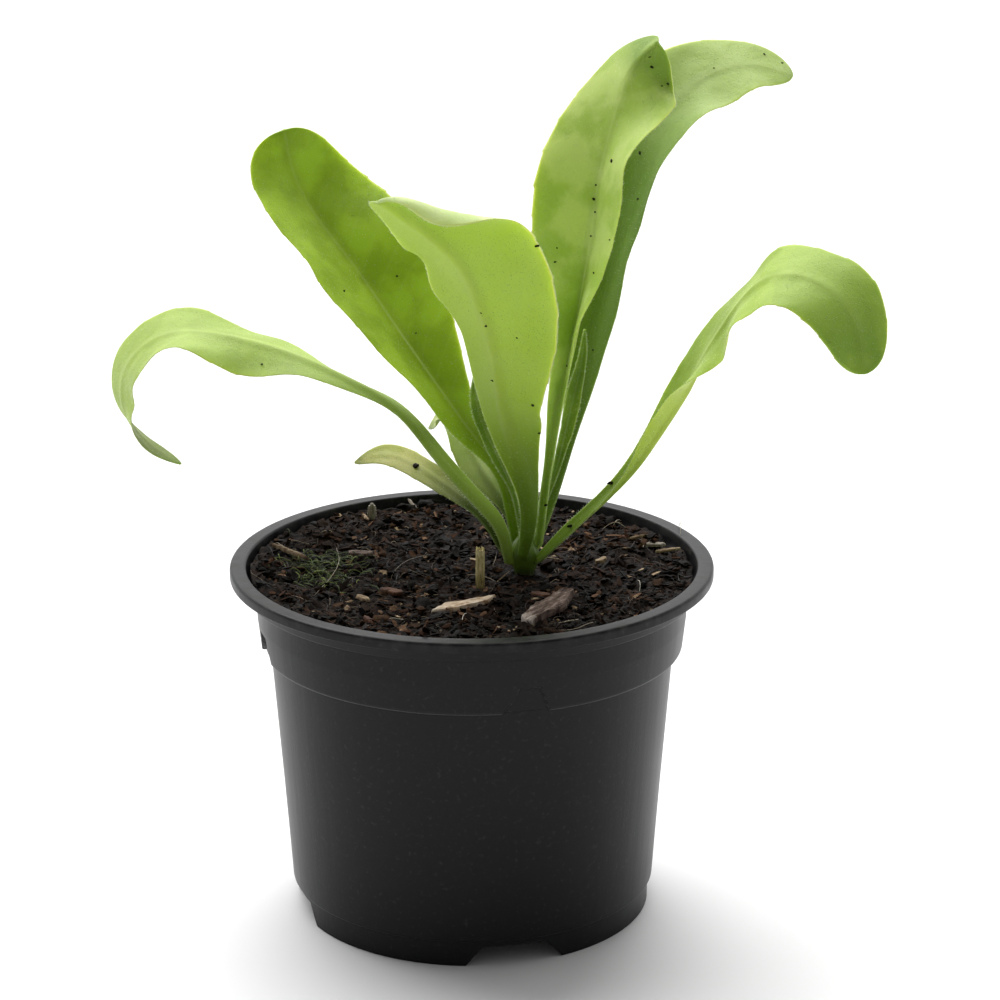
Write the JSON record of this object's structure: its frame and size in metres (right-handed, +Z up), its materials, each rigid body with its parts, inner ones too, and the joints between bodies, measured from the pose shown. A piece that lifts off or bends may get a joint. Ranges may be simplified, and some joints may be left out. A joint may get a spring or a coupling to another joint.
{
  "type": "potted marigold plant",
  "caption": "Young leafy pot marigold in a round black nursery pot, with long arching green leaves over dark soil; decorative live plant.",
  "frame": {"origin": "on the pot's axis, on the surface that the pot stands on, at the centre of the bottom of the whole", "axes": "+Z up along the pot's axis, -Y toward the viewer of the picture, +X to the viewer's right"},
  "size_m": [0.1901, 0.12, 0.2174],
  "materials": {
    "black_plastic": "satin",
    "potting_soil": "matte",
    "stem_green": "matte",
    "leaf_green": "matte",
    "dry_straw": "matte",
    "pale_wood": "matte",
    "bark": "matte",
    "dry_flake": "matte"
  },
  "bodies": {
    "root": {"pot": "black_plastic", "soil": "potting_soil", "crown": "stem_green", "leaf_far_left": "leaf_green", "leaf_upper_left": "leaf_green", "leaf_front": "leaf_green", "leaf_tall": "leaf_green", "leaf_rear_right": "leaf_green", "leaf_right": "leaf_green", "leaf_low_left": "leaf_green", "leaf_low_rear": "leaf_green", "leaf_young_left": "leaf_green", "leaf_young_right": "leaf_green", "straw_stub": "dry_straw", "wood_splinter": "pale_wood", "bark_chip": "bark", "pale_flake": "dry_flake"}
  },
  "joints": []
}
